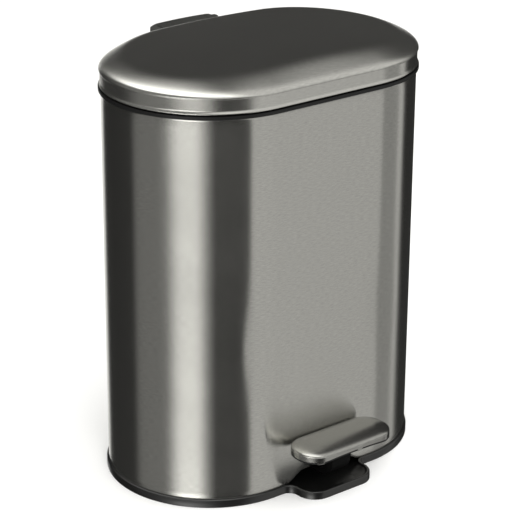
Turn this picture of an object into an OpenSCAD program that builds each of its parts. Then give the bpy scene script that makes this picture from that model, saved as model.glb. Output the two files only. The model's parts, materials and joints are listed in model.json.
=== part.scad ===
// Pedal bin with an oval steel body, a lifting lid and a removable inner bucket.
// Z is up, the floor is z = 0, and the pedal is on the -Y side.
// The origin is at the centre of the body's footprint.

/* [Body] */
// Length of the steel body across its round ends
body_length = 232; // [225:1:240]
// Depth of the steel body between its flat faces
body_depth = 144.3; // [143:0.1:146]
// Height of the steel wall's top edge
body_top = 276; // [272:1:300]
// Thickness of the steel sheet
sheet = 0.6; // [0.5:0.1:0.8]

/* [Base] */
// Height of the base's rim, where the steel stands
rim_h = 6; // [5:0.5:7]
// How far the rim stands out from the steel
rim_lip = 1.3; // [0.8:0.1:2]
// Thickness of the base's floor
floor_t = 1.6; // [1.4:0.1:1.8]
// Half width of the toe scoop at its front
scoop_half = 30; // [29:1:32]
// How far the scoop's front stands from the centre
scoop_front = 96; // [94:1:98]
// Half width of the arch in the steel's lower edge
arch_half = 33; // [32:1:35]
// Height of the arch's flat top
arch_top = 13; // [12.8:0.1:15]
// Length of each of the arch's sloping shoulders
arch_slope = 15.5; // [8:0.5:16]

/* [Lid] */
// Height of the lid's rolled lower edge above the steel
lid_gap = 3.3; // [3.2:0.1:4]
// Height of the lid's upright skirt
skirt_h = 9.7; // [9.5:0.1:11]
// Height of the dome above the skirt
dome_h = 15.5; // [12:0.5:18]
// How far the dome stands out from the skirt
dome_lip = 1.1; // [0.6:0.1:1.2]
// Thickness of the lid's sheet
lid_sheet = 0.8; // [0.6:0.1:1]

/* [Hinge] */
// Distance of the hinge axis behind the steel
hinge_back = 10.25; // [10.2:0.05:11]
// Height of the hinge axis above the steel
hinge_up = 12; // [11.8:0.1:12.2]
// Radius of the hinge pin
hinge_pin_r = 2; // [1.5:0.1:2.2]
// Radius of the housing's front barrel
barrel_r = 8.5; // [8:0.1:8.6]
// Half width of the housing
housing_half = 29; // [28:0.5:31]
// Height of the housing's bottom
housing_foot = 248; // [244:1:248]

/* [Pedal] */
// Half length of the pedal's cap
pedal_half = 38.7; // [37:0.1:45]
// Front edge of the cap, measured from the centre
pedal_front = 107; // [105:1:110]
// Rear edge of the cap, measured from the centre
pedal_rear = 73.5; // [73.3:0.1:75]
// Height of the cap's lower edge
pedal_foot = 35; // [34:0.5:37]
// Distance of the pedal's axle in front of the centre
axle_front = 48; // [46:1:50]
// Height of the axle
axle_z = 12; // [11.5:0.1:12.5]

/* [Bucket] */
// Radius of the bucket's round ends at the top
bucket_r = 57; // [54:0.5:57]
// Height of the bucket's floor
bucket_foot = 41; // [41:1:50]
// Thickness of the bucket's wall
bucket_wall = 1.6; // [1.2:0.1:2]
// How far the handle hangs below its pivots
bail_drop = 48; // [44:0.5:48]

/* [Hidden] */
$fn = 96;

slip = 0.05;          // radial clearance of a pin or screw in its hole
fit = 0.15;           // clearance between plastic and steel round the body
far = 200;            // longer than anything it cuts
eps = 0.01;           // overlap that keeps cuts clean

// Outline of the body: two round ends joined by flat faces
end_r = body_depth / 2;
end_x = (body_length - body_depth) / 2;
rim_r = end_r + rim_lip;
inside_r = end_r - sheet;

// Base: the upstand stands inside the steel's inward hem
hem_w = 4.6;
upstand_r = inside_r - hem_w - fit;
upstand_t = 2.4;
upstand_top = 14;
base_screw_r = 1.5;
base_screw_at = inside_r - hem_w / 2;
pad_r = 9;
pad_t = 0.8;
pad_x = 78;
pad_y = 34;

// Toe scoop
scoop_wall = 3.5;
scoop_corner = 14;
scoop_fillet = 7;
recess_back = 60;

// Top ring
ring_r = end_r + 1.7;
ring_t = 2.2;
ring_skirt_r = inside_r - fit;
ring_skirt_in = ring_skirt_r - 1.8;
ring_skirt_h = 14;
ledge_z = body_top - 6;
ledge_t = 4;
buffer_r = 1.6;

// Bucket
bucket_x = 46.5;
bucket_y = -5;
bucket_taper = 4;
bucket_rim_r = bucket_r + 6;
bucket_rim_t = 2.4;
bucket_open_r = bucket_r + 4;
bail_z = ledge_z - 8;
bail_r = 1.75;
bail_x = bucket_x + 50;
bail_end = bucket_x + bucket_r + 0.8;
bail_bend = 4;
bail_corner = bail_drop - bail_bend;
grip_r = 5.5;
grip_half = 45;

// Hinge and the housing round it
hinge_y = end_r + hinge_back;
hinge_z = body_top + hinge_up;
housing_wall = 2.4;
housing_back = hinge_y + 11.6;
housing_front = end_r + 1.75;
housing_top = hinge_z + barrel_r;
housing_corner = 9;
knuckle_x = 20;
knuckle_w = 8;
knuckle_r = barrel_r - 0.2;
knuckle_gap = 0.6;
rib_x = 10.5;
rib_w = 3;
plate_t = 1.5;
hinge_screw_r = 1.5;
hinge_screw_z = housing_foot + 7.3;
hinge_screws_x = [-21, -7, 7, 21];

// Lid
lid_z = body_top + lid_gap;
crease_z = lid_z + skirt_h;
lid_top = crease_z + dome_h;
liner_z = lid_z + 4.2;
liner_t = 2;
liner_r = end_r - lid_sheet - 0.4;
hem_in = 3;

// Push rod: it stands inside the rear wall and lifts an ear on the lid's liner
rod_r = 1.75;
rod_y = hinge_y - 16.6;
rod_low = 9.5;
rod_high = hinge_z - 13.25;
rod_bend = 3.5;
ear_x = -8.5;
ear_t = 3;
ear_angle = 220;      // the rest direction of the ear's slot, seen from +X
ear_slot = rod_r + 0.65;
guides_z = [100, 220];
guide_w = 10;
plug_r = 2.4;
clip_r = rod_r + 0.65;
clip_t = 1.2;

// Pedal and lever
axle_r = 2.5;
axle_half = 31;
hub_r = 5.5;
hub_half = 18;
neck_half = 8;
post_x = 21;
post_w = 5;
cap_sheet = 0.8;
cap_skirt_h = 3.5;
cap_h = 9.8;
cap_corner = 15;
channel_half = 7;
channel_t = 1.5;
channel_top = 15;
channel_foot = 5.5;
channel_start = -axle_front + hub_r + 0.3;
channel_end = 70.2;
lever_screws_y = [-34, -20];
lever_screw_r = 1.5;

// The bay in the base and the steel's hem for the lever's end and the rod's hook
bay_left = ear_x - 3.5;
bay_right = channel_half + 2;

// ---- shared shapes ----

// The body's outline at radius r, with the round ends' centres at -c and c
module stadium(r, c = end_x) {
    translate([-c, 0]) circle(r);
    translate([c, 0]) circle(r);
    translate([-c, -r]) square([2 * c, 2 * r]);
}

// The same outline as a slab between two heights
module slab(r, z0, z1, c = end_x) {
    translate([0, 0, z0])
        linear_extrude(z1 - z0)
            stadium(r, c);
}

// A band between two outlines
module band(r_out, r_in, z0, z1) {
    difference() {
        slab(r_out, z0, z1);
        slab(r_in, z0 - 1, z1 + 1);
    }
}

// A slab whose radius changes from r0 at z0 to r1 at z1
module tapered_slab(r0, r1, z0, z1, c) {
    for (side = [-1, 1])
        translate([side * c, 0, z0])
            cylinder(h = z1 - z0, r1 = r0, r2 = r1);
    rotate([90, 0, 90])
        translate([0, 0, -c])
            linear_extrude(2 * c)
                polygon([[-r0, z0], [r0, z0], [r1, z1], [-r1, z1]]);
}

// Sweeps half a cross section, drawn as distance from the centre line and height, round the outline
module sweep_round(c = end_x) {
    for (side = [0, 1])
        mirror([side, 0, 0])
            translate([c, 0, 0])
                rotate([0, 0, -90])
                    rotate_extrude(angle = 180)
                        children(0);
    rotate([90, 0, 90])
        translate([0, 0, -c])
            linear_extrude(2 * c) {
                children(0);
                mirror([1, 0])
                    children(0);
            }
}

// A shape drawn in the YZ plane, drawn out along X from x0 to x1
module along_x(x0, x1) {
    translate([x0, 0, 0])
        rotate([90, 0, 90])
            linear_extrude(x1 - x0)
                children();
}

// A cylinder along X from x0 to x1 through the point y, z
module bar_x(r, x0, x1, y, z) {
    translate([x0, y, z])
        rotate([0, 90, 0])
            cylinder(h = x1 - x0, r = r);
}

// A cylinder along Y from y0 to y1 through the point x, z
module bar_y(r, y0, y1, x, z) {
    translate([x, y0, z])
        rotate([-90, 0, 0])
            cylinder(h = y1 - y0, r = r);
}

// A block from one corner to the other
module block(low, high) {
    translate(low)
        cube(high - low);
}

// A quarter bend of round wire that turns from +X to +Y about the origin
module bend(wire_r, bend_r) {
    rotate_extrude(angle = 90)
        translate([bend_r, 0])
            circle(wire_r, $fn = 48);
}

// A hole through the can's rear wall
module wall_hole(r, x, z) {
    bar_y(r, end_r - 3, end_r + 2, x, z);
}

// Copies its children to both sides of the YZ plane
module both_sides() {
    for (side = [0, 1])
        mirror([side, 0, 0])
            children();
}

// ---- the can ----

// One corner of the arch's right shoulder, a share of the way in from its side
function arch_corner(share) = [arch_half - arch_slope * share,
                               rim_h + (arch_top - rim_h) * (1 - cos(180 * share)) / 2];

// The arch over the toe scoop, with long sloping shoulders
module arch_cut() {
    steps = 12;
    right = [for (k = [0:steps]) arch_corner(k / steps)];
    left = [for (k = [steps:-1:0]) [-right[k][0], right[k][1]]];
    translate([0, -inside_r + hem_w + 1, 0])
        rotate([90, 0, 0])
            linear_extrude(hem_w + 5)
                polygon(concat([[arch_half, rim_h - 2]], right, left, [[-arch_half, rim_h - 2]]));
}

// Places its children at the four base screws, near the body's corners
module at_base_screws() {
    turn = 60;
    for (side_x = [-1, 1], side_y = [-1, 1])
        translate([side_x * (end_x + base_screw_at * cos(turn)),
                   side_y * base_screw_at * sin(turn), 0])
            children();
}

module body_shell() {
    color([0.72, 0.71, 0.68])
        difference() {
            union() {
                band(end_r, inside_r, rim_h, body_top);
                band(inside_r + eps, inside_r - hem_w, rim_h, rim_h + sheet);
            }
            arch_cut();
            at_base_screws()
                cylinder(h = 12, r = base_screw_r + slip);
            block([bay_left, end_r - 6.5, 0], [bay_right, inside_r - eps, upstand_top]);
            for (z = guides_z)
                wall_hole(plug_r + slip, 0, z);
            for (x = hinge_screws_x)
                wall_hole(hinge_screw_r + slip, x, hinge_screw_z);
        }
}

module top_ring() {
    notch_low = [ear_x - 3.5, rod_y - 9, ledge_z - ring_skirt_h];
    notch_high = [3, ring_skirt_r + eps, body_top + 4];
    color([0.09, 0.09, 0.09])
        difference() {
            union() {
                band(ring_r, ring_skirt_in - 0.4, body_top, body_top + ring_t);
                band(ring_skirt_r, ring_skirt_in, body_top - ring_skirt_h, body_top + eps);
                difference() {
                    slab(ring_skirt_in + eps, ledge_z - ledge_t, ledge_z);
                    translate([0, bucket_y, 0])
                        slab(bucket_open_r, 0, body_top, bucket_x);
                }
            }
            block(notch_low, notch_high);
            block([-housing_half - 0.6, end_r, body_top - 1], [housing_half + 0.6, far, body_top + 5]);
            at_buffers()
                cylinder(h = 20, r = buffer_r / 2 + slip, center = true);
        }
}

// Places its children on the ring's top face, at the four rubber buffers
module at_buffers() {
    turn = 35;
    r = end_r - 0.9;
    for (side_x = [-1, 1], side_y = [-1, 1])
        translate([side_x * (end_x + r * cos(turn)), side_y * r * sin(turn), body_top + ring_t])
            children();
}

module lid_buffers() {
    color([0.05, 0.05, 0.05])
        at_buffers() {
            cylinder(h = lid_gap - ring_t - 0.1, r = buffer_r);
            translate([0, 0, 0.8 - ring_t])
                cylinder(h = ring_t, r = buffer_r / 2);
        }
}

// Outline of the toe scoop, drawn in from its outer edge by inset
module scoop_outline(inset, back) {
    half = scoop_half - inset;
    front = scoop_front - inset;
    corner = scoop_corner - inset;
    centre = scoop_front - scoop_corner;
    translate([-half, -centre])
        square([2 * half, centre - back]);
    translate([corner - half, -front])
        square([2 * (half - corner), front - back]);
    for (side = [-1, 1])
        translate([side * (half - corner), -centre])
            circle(corner);
}

// The hollow corners where the scoop's lip runs into the base's rim
module scoop_fillets() {
    both_sides()
        difference() {
            translate([scoop_half - 1, -rim_r - scoop_fillet])
                square([scoop_fillet + 1, scoop_fillet + 4]);
            translate([scoop_half + scoop_fillet, -rim_r - scoop_fillet])
                circle(scoop_fillet);
        }
}

module axle_posts() {
    both_sides()
        along_x(post_x, post_x + post_w) {
            translate([-axle_front - hub_r, floor_t - eps])
                square([2 * hub_r, axle_z - floor_t]);
            translate([-axle_front, axle_z])
                circle(hub_r);
        }
}

module base_tray() {
    color([0.09, 0.09, 0.09])
        difference() {
            union() {
                slab(rim_r, 0, rim_h);
                slab(upstand_r, rim_h - eps, upstand_top);
                linear_extrude(rim_h) {
                    scoop_outline(0, recess_back);
                    scoop_fillets();
                }
            }
            // the space inside, the recess under the arch and the room for the lever's rear end
            difference() {
                slab(upstand_r - upstand_t, floor_t, far);
                axle_posts();
            }
            translate([0, 0, floor_t])
                linear_extrude(far)
                    scoop_outline(scoop_wall, recess_back);
            block([bay_left, channel_end - 15, floor_t], [bay_right, inside_r - 0.4, far]);
            bar_x(axle_r + slip, -axle_half - 2, axle_half + 2, -axle_front, axle_z);
            at_base_screws() {
                translate([0, 0, -1])
                    cylinder(h = far, r = base_screw_r + slip);
                translate([0, 0, -1])
                    cylinder(h = 3.6, r = 3.2);
            }
            at_pads()
                translate([0, 0, -1])
                    cylinder(h = pad_t + 1, r = pad_r + slip);
        }
}

module base_screws() {
    color([0.6, 0.6, 0.6])
        at_base_screws() {
            translate([0, 0, 0.6])
                cylinder(h = 2, r = 3);
            translate([0, 0, 2.5])
                cylinder(h = 6.5, r = base_screw_r);
        }
}

// Places its children at the four non-slip pads
module at_pads() {
    for (side_x = [-1, 1], side_y = [-1, 1])
        translate([side_x * pad_x, side_y * pad_y, 0])
            children();
}

module foot_pads() {
    color([0.05, 0.05, 0.05])
        at_pads()
            cylinder(h = pad_t - eps, r = pad_r);
}

// Side view of the housing's outside, drawn in by inset
module housing_side(inset) {
    back_r = 6;
    back = housing_back - inset;
    difference() {
        union() {
            translate([end_r + inset, housing_foot + inset])
                square([back - end_r - inset, body_top - housing_foot - 2 * inset]);
            translate([housing_front + inset, body_top - 2 * inset])
                square([back - housing_front - inset, hinge_z - body_top + 2 * inset]);
            translate([hinge_y, hinge_z])
                circle(barrel_r - inset);
            translate([hinge_y, hinge_z])
                square([housing_back - back_r - hinge_y, barrel_r - inset]);
            translate([hinge_y, hinge_z])
                square([back - hinge_y, barrel_r - back_r]);
            translate([housing_back - back_r, housing_top - back_r])
                circle(back_r - inset);
        }
        polygon([[housing_back + 1, housing_foot + 15], [housing_back + 1, housing_foot - 1],
                 [housing_back - 9, housing_foot - 1], [housing_back - inset, housing_foot + 15]]);
    }
}

// Top view of the housing, with rounded rear corners
module housing_plan(half, back, corner) {
    translate([-half, end_r - 1])
        square([2 * half, back - corner - end_r + 1]);
    translate([corner - half, end_r - 1])
        square([2 * (half - corner), back - end_r + 1]);
    for (side = [-1, 1])
        translate([side * (half - corner), back - corner])
            circle(corner);
}

// The chambers inside the housing, between its cheeks and two ribs
module housing_chambers() {
    inner = housing_half - housing_wall;
    edges = [[-inner, -rib_x - rib_w / 2], [-rib_x + rib_w / 2, rib_x - rib_w / 2],
             [rib_x + rib_w / 2, inner]];
    intersection() {
        for (edge = edges)
            along_x(edge[0], edge[1])
                housing_side(housing_wall);
        linear_extrude(2 * far)
            housing_plan(inner, housing_back - housing_wall, housing_corner - housing_wall);
    }
}

module hinge_housing() {
    slot_w = knuckle_w / 2 + knuckle_gap;
    boss_r = 4;
    color([0.17, 0.17, 0.17])
        difference() {
            union() {
                difference() {
                    intersection() {
                        along_x(-housing_half, housing_half)
                            housing_side(0);
                        linear_extrude(2 * far)
                            housing_plan(housing_half, housing_back, housing_corner);
                    }
                    housing_chambers();
                }
                for (x = hinge_screws_x)
                    bar_y(boss_r, end_r + 1, hinge_y + 1, x, hinge_screw_z);
            }
            for (x = [-knuckle_x, knuckle_x]) {
                bar_x(knuckle_r + knuckle_gap, x - slot_w, x + slot_w, hinge_y, hinge_z);
                block([x - slot_w, end_r, hinge_z - 5.5], [x + slot_w, hinge_y, hinge_z + far]);
            }
            bar_x(hinge_pin_r + slip, -far, far, hinge_y, hinge_z);
            for (x = hinge_screws_x)
                bar_y(hinge_screw_r + slip, end_r - 1, hinge_y - 1, x, hinge_screw_z);
        }
}

module hinge_plate() {
    half = housing_half - 3;
    top = body_top - ring_skirt_h - 0.5;
    color([0.6, 0.6, 0.6])
        difference() {
            block([-half, inside_r - plate_t, housing_foot + 1], [half, inside_r, top]);
            for (x = hinge_screws_x)
                wall_hole(hinge_screw_r + slip, x, hinge_screw_z);
        }
}

module hinge_screws() {
    head = inside_r - plate_t;
    color([0.6, 0.6, 0.6])
        for (x = hinge_screws_x) {
            bar_y(3, head - 2, head, x, hinge_screw_z);
            bar_y(hinge_screw_r, head - eps, hinge_y - 2, x, hinge_screw_z);
        }
}

module hinge_pin() {
    color([0.6, 0.6, 0.6])
        bar_x(hinge_pin_r, 0.4 - housing_half, housing_half - 0.4, hinge_y, hinge_z);
}

module rod_guides() {
    half = guide_w / 2;
    color([0.09, 0.09, 0.09])
        for (z = guides_z)
            difference() {
                union() {
                    block([-half, rod_y - 4, z - half], [half, inside_r, z + half]);
                    bar_y(plug_r, inside_r - 1, end_r + 0.5, 0, z);
                    bar_y(4, end_r, end_r + 1.2, 0, z);
                }
                translate([0, rod_y, z - far])
                    cylinder(h = 2 * far, r = rod_r + 0.1);
            }
}

module pedal_axle() {
    color([0.6, 0.6, 0.6])
        bar_x(axle_r, -axle_half, axle_half, -axle_front, axle_z);
}

module axle_caps() {
    inner = post_x + post_w + 0.5;
    color([0.6, 0.6, 0.6])
        both_sides()
            difference() {
                bar_x(4.5, inner, inner + 2, -axle_front, axle_z);
                bar_x(axle_r + slip / 2, 0, far, -axle_front, axle_z);
            }
}

// ---- the pedal ----

// Top view of the pedal, drawn in by inset
module pedal_plan(inset) {
    half = pedal_half - inset;
    corner = cap_corner - inset;
    front = pedal_front - inset;
    rear = pedal_rear + inset;
    translate([-half, corner - front])
        square([2 * half, front - rear - 2 * corner]);
    translate([corner - half, -front])
        square([2 * (half - corner), front - rear]);
    for (side = [-1, 1], y = [corner - front, -rear - corner])
        translate([side * (half - corner), y])
            circle(corner, $fn = 32);
}

// The cap's outside or inside: an upright skirt under a low dome
module pedal_form(inset, z0) {
    crease = pedal_foot + cap_skirt_h;
    rise = cap_h - cap_skirt_h - inset;
    dome_w = 11;
    steps = [0:15:90];
    hull() {
        translate([0, 0, z0])
            linear_extrude(crease - z0)
                pedal_plan(inset);
        for (a = steps)
            translate([0, 0, crease + rise * sin(a) - eps])
                linear_extrude(eps)
                    pedal_plan(inset + dome_w * (1 - cos(a)));
    }
}

module pedal_cap() {
    color([0.72, 0.71, 0.68])
        difference() {
            pedal_form(0, pedal_foot);
            pedal_form(cap_sheet, pedal_foot - 1);
        }
}

// Side view of the neck that carries the pad down and back under the arch
module neck_side() {
    front = pedal_front - 15;
    polygon([[-front, pedal_foot + 1], [-front + 0.5, 20], [-front + 3, 15.5], [-front + 7.5, 11],
             [-front + 13, 9], [-axle_front, 9], [-axle_front, 12.2], [-front + 16, 12.2],
             [-front + 11, 15], [-front + 8, 20], [-front + 7, 25], [-front + 8, pedal_foot + 1]]);
}

module pedal_core() {
    tail_half = channel_half - channel_t - 0.3;
    tail_top = channel_top - channel_t - slip;
    color([0.09, 0.09, 0.09])
        difference() {
            union() {
                translate([0, 0, pedal_foot - 0.6])
                    linear_extrude(cap_skirt_h)
                        pedal_plan(cap_sheet + 0.15);
                along_x(-neck_half, neck_half)
                    neck_side();
                bar_x(hub_r, -hub_half, hub_half, -axle_front, axle_z);
                block([-tail_half, -axle_front, 8.8], [tail_half, -12, tail_top]);
            }
            bar_x(axle_r + slip, -far, far, -axle_front, axle_z);
            for (y = lever_screws_y)
                translate([0, y, 0])
                    cylinder(h = far, r = lever_screw_r + slip);
        }
}

module pedal_lever() {
    inner = channel_half - channel_t;
    slot_r = rod_r + 0.25;
    color([0.6, 0.6, 0.6])
        difference() {
            block([-channel_half, channel_start, channel_foot],
                  [channel_half, channel_end, channel_top]);
            // inside of the channel, and the rear end where its web is cut away
            block([-inner, -far, 0], [inner, far, channel_top - channel_t]);
            block([-inner, rod_y - 10, 0], [inner, far, far]);
            // the open slot that the rod's foot slides in
            bar_x(slot_r, -far, far, rod_y, rod_low);
            block([-far, rod_y, rod_low - slot_r], [far, far, rod_low + slot_r]);
            for (y = lever_screws_y)
                translate([0, y, 0])
                    cylinder(h = far, r = lever_screw_r + slip);
        }
}

module lever_screws() {
    color([0.6, 0.6, 0.6])
        for (y = lever_screws_y) {
            translate([0, y, channel_top])
                cylinder(h = 1.8, r = 3);
            translate([0, y, 9.2])
                cylinder(h = channel_top - 9, r = lever_screw_r);
        }
}

// ---- the push rod ----

// Half of the rod's hook: a quarter bend and the straight end that points to -X
module rod_hook() {
    translate([-rod_bend, 0, -rod_bend])
        rotate([90, 0, 0])
            bend(rod_r, rod_bend);
    bar_x(rod_r, ear_x - 2.6, -rod_bend, 0, 0);
}

module push_rod() {
    color([0.6, 0.6, 0.6])
        translate([0, rod_y, 0]) {
            translate([0, 0, rod_low + rod_bend])
                cylinder(h = rod_high - rod_low - 2 * rod_bend, r = rod_r, $fn = 48);
            translate([0, 0, rod_high])
                rod_hook();
            translate([0, 0, rod_low])
                mirror([0, 0, 1])
                    rod_hook();
        }
}

module rod_clips() {
    color([0.45, 0.45, 0.45])
        for (z = [rod_low, rod_high])
            difference() {
                bar_x(clip_r, ear_x - 1.7, ear_x - 1.7 + clip_t, rod_y, z);
                bar_x(rod_r + slip / 2, -far, far, rod_y, z);
            }
}

// ---- the lid ----

// Cross section of the lid's sheet: a hem, the skirt, a small step out and the dome
module lid_section() {
    shoulder_w = 19;
    shoulder_h = 8.3;
    edge_r = end_r + dome_lip;
    crown_h = dome_h - shoulder_h - 0.6;
    crown_r = edge_r - shoulder_w;
    step_z = crease_z + 0.6;
    outer = concat(
        [[end_r, lid_z], [end_r, crease_z - 0.4], [edge_r, step_z]],
        [for (a = [15:15:90])
            [crown_r + shoulder_w * cos(a), step_z + shoulder_h * sin(a)]],
        [for (a = [30:30:90])
            [crown_r * cos(a), lid_top - crown_h * (1 - sin(a))]]);
    inner = concat(
        [for (a = [90, 60, 30])
            [crown_r * cos(a), lid_top - lid_sheet - crown_h * (1 - sin(a))]],
        [for (a = [90:-15:15])
            [crown_r + (shoulder_w - lid_sheet) * cos(a), step_z + (shoulder_h - lid_sheet) * sin(a)]],
        [[edge_r - lid_sheet, step_z + 0.2], [end_r - lid_sheet, crease_z],
         [end_r - lid_sheet, lid_z + lid_sheet], [end_r - hem_in, lid_z + lid_sheet],
         [end_r - hem_in, lid_z]]);
    polygon(concat(outer, inner));
}

module lid_shell() {
    slot = knuckle_w / 2 + 0.4;
    color([0.66, 0.65, 0.63])
        difference() {
            sweep_round()
                lid_section();
            for (x = [-knuckle_x, knuckle_x])
                block([x - slot, end_r - 5, lid_z - 1], [x + slot, end_r + 4, crease_z + 1.2]);
            block([ear_x - 4, end_r - 5, lid_z - 1], [4, end_r - lid_sheet - eps, lid_z + 2]);
        }
}

// The ear: a flank that the rod's hook pushes up, and a finger that keeps the hook in
module lift_ear() {
    flank_in = 13.5;
    tip = 26.3;
    finger_in = 20;
    flank_w = 5;
    finger_w = 2.2;
    along_x(ear_x, ear_x + ear_t)
        translate([hinge_y, hinge_z])
            rotate(ear_angle)
                difference() {
                    translate([flank_in, -ear_slot - flank_w])
                        square([tip - flank_in, 2 * ear_slot + flank_w + finger_w]);
                    translate([0, -ear_slot])
                        square([tip - 2.5, 2 * ear_slot]);
                    translate([0, -ear_slot])
                        square([finger_in, far]);
                }
}

// One hinge arm with its knuckle, drawn in the YZ plane
module hinge_arm() {
    arm_top = hinge_z + 1.4;
    root = liner_r - 6;
    polygon([[root, liner_z], [hinge_y, liner_z], [hinge_y, arm_top], [end_r - 2, arm_top],
             [root, liner_z + liner_t]]);
    translate([hinge_y, hinge_z])
        circle(knuckle_r);
}

module lid_liner() {
    wall_t = 2;
    wall_top = crease_z - 1;
    color([0.09, 0.09, 0.09])
        difference() {
            union() {
                slab(liner_r, liner_z, liner_z + liner_t);
                band(liner_r, liner_r - wall_t, lid_z + lid_sheet + slip, wall_top);
                for (x = [-knuckle_x, knuckle_x])
                    along_x(x - knuckle_w / 2, x + knuckle_w / 2)
                        hinge_arm();
                lift_ear();
                block([ear_x, rod_y - 8, hinge_z - 8], [ear_x + ear_t, rod_y + 3, liner_z + 1]);
            }
            block([ear_x - 4, rod_y - 2, lid_z], [ear_x, far, liner_z]);
            block([ear_x + ear_t, rod_y - 2, lid_z], [4, far, liner_z]);
            bar_x(hinge_pin_r + slip, -far, far, hinge_y, hinge_z);
        }
}

// ---- the bucket and its handle ----

module inner_bucket() {
    foot_r = bucket_r - bucket_taper;
    floor_z = bucket_foot + 2;
    color([0.13, 0.13, 0.13])
        translate([0, bucket_y, 0])
            difference() {
                union() {
                    tapered_slab(foot_r, bucket_r, bucket_foot, ledge_z + eps, bucket_x);
                    slab(bucket_rim_r, ledge_z, ledge_z + bucket_rim_t, bucket_x);
                }
                tapered_slab(foot_r - bucket_wall, bucket_r - bucket_wall, floor_z, ledge_z + 4,
                             bucket_x);
                bar_x(bail_r + slip, -far, far, 0, bail_z);
            }
}

// One side of the wire handle, from its end in the bucket's wall to the middle. It follows
// the bucket's round end, so it can swing up inside the wall.
module bail_half() {
    foot = bail_z - bail_drop;
    bar_x(bail_r, bail_x + bail_bend, bail_end, 0, bail_z);
    translate([bail_x + bail_bend, 0, bail_z - bail_bend])
        rotate([90, 0, 180])
            bend(bail_r, bail_bend);
    translate([bail_x - bail_corner, 0, foot + bail_corner])
        rotate([-90, 0, 0])
            bend(bail_r, bail_corner);
    bar_x(bail_r, -eps, bail_x - bail_corner, 0, foot);
}

module bucket_handle() {
    color([0.6, 0.6, 0.6])
        translate([0, bucket_y, 0])
            both_sides()
                bail_half();
}

module handle_grip() {
    color([0.13, 0.13, 0.13])
        difference() {
            bar_x(grip_r, -grip_half, grip_half, bucket_y, bail_z - bail_drop);
            bar_x(bail_r + slip, -far, far, bucket_y, bail_z - bail_drop);
        }
}

body_shell();
top_ring();
lid_buffers();
base_tray();
base_screws();
foot_pads();
hinge_housing();
hinge_plate();
hinge_screws();
hinge_pin();
rod_guides();
pedal_axle();
axle_caps();
pedal_cap();
pedal_core();
pedal_lever();
lever_screws();
push_rod();
rod_clips();
lid_shell();
lid_liner();
inner_bucket();
bucket_handle();
handle_grip();
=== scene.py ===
# Pedal trash can: the visual model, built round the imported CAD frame. Lengths are in metres.
import json
import math
from collections import namedtuple

import bmesh
import bpy
from mathutils import Matrix, Vector


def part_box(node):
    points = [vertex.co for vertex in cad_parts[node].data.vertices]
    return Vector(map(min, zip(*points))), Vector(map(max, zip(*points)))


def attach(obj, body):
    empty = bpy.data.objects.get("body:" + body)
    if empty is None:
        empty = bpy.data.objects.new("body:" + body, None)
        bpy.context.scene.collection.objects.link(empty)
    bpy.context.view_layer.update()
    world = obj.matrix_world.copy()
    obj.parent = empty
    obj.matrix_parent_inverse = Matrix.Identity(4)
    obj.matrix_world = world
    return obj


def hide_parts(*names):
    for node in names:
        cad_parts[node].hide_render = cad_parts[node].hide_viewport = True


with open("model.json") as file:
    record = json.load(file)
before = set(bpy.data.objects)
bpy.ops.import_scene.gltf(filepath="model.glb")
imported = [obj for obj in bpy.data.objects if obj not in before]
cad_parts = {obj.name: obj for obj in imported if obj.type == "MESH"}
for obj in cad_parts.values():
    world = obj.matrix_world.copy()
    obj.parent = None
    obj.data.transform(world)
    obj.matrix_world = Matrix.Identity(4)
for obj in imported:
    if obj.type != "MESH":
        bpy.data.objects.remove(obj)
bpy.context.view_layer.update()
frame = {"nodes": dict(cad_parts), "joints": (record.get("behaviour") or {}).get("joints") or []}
NODES = frame["nodes"]
MM = 0.001

# ---- sizes read from the frame ----

BODY_LOW, BODY_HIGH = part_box("body_shell")
LID_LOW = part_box("lid_shell")[0]
RIM_LOW, RIM_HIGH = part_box("base_tray")
CAP_LOW, CAP_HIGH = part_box("pedal_cap")
SCREWS_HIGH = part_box("base_screws")[1]
END_R = BODY_HIGH.y
END_X = BODY_HIGH.x - END_R
RIM_R = RIM_HIGH.y
RIM_H = BODY_LOW.z
HINGE = Vector(next(j["pos_m"] for j in frame["joints"] if j["name"] == "lid_hinge"))
AXLE = Vector(next(j["pos_m"] for j in frame["joints"] if j["name"] == "pedal_pivot"))

SHEET = 0.6 * MM
ARCH_HALF = 33 * MM
ARCH_TOP = 13 * MM
ARCH_SLOPE = 15.5 * MM
SKIRT_H = 9.7 * MM
DOME_LIP = 1.1 * MM
LID_SHEET = 0.8 * MM
KNUCKLE_X = 20 * MM
KNUCKLE_SLOT = 4.4 * MM


# ---- mesh helpers ----

Sample = namedtuple("Sample", "point core run")


def spaced(start, end, step):
    """Values from start up to but not including end, about step apart."""
    count = max(1, round(abs(end - start) / step))
    return [start + (end - start) * i / count for i in range(count)]


def with_marks(values, marks):
    """Adds each mark to a rising run of values and drops the values that crowd one."""
    kept = [v for v in values if v == values[0] or all(abs(v - m) > 0.25 * MM for m in marks)]
    return sorted(kept + list(marks))


def arc(centre, radius, start, end, step_deg):
    """Points on an arc from start up to but not including end, in degrees."""
    count = max(2, round(abs(end - start) / step_deg))
    turns = [math.radians(start + (end - start) * i / count) for i in range(count)]
    return [Vector((centre[0] + radius * math.cos(t), centre[1] + radius * math.sin(t))) for t in turns]


def add_runs(points, cores):
    """Pairs outline points with their inner ends and measures along the outline."""
    samples, run = [], 0.0
    for i, point in enumerate(points):
        if i:
            run += (point - points[i - 1]).length
        samples.append(Sample(point, cores[i], run))
    return samples


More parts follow.
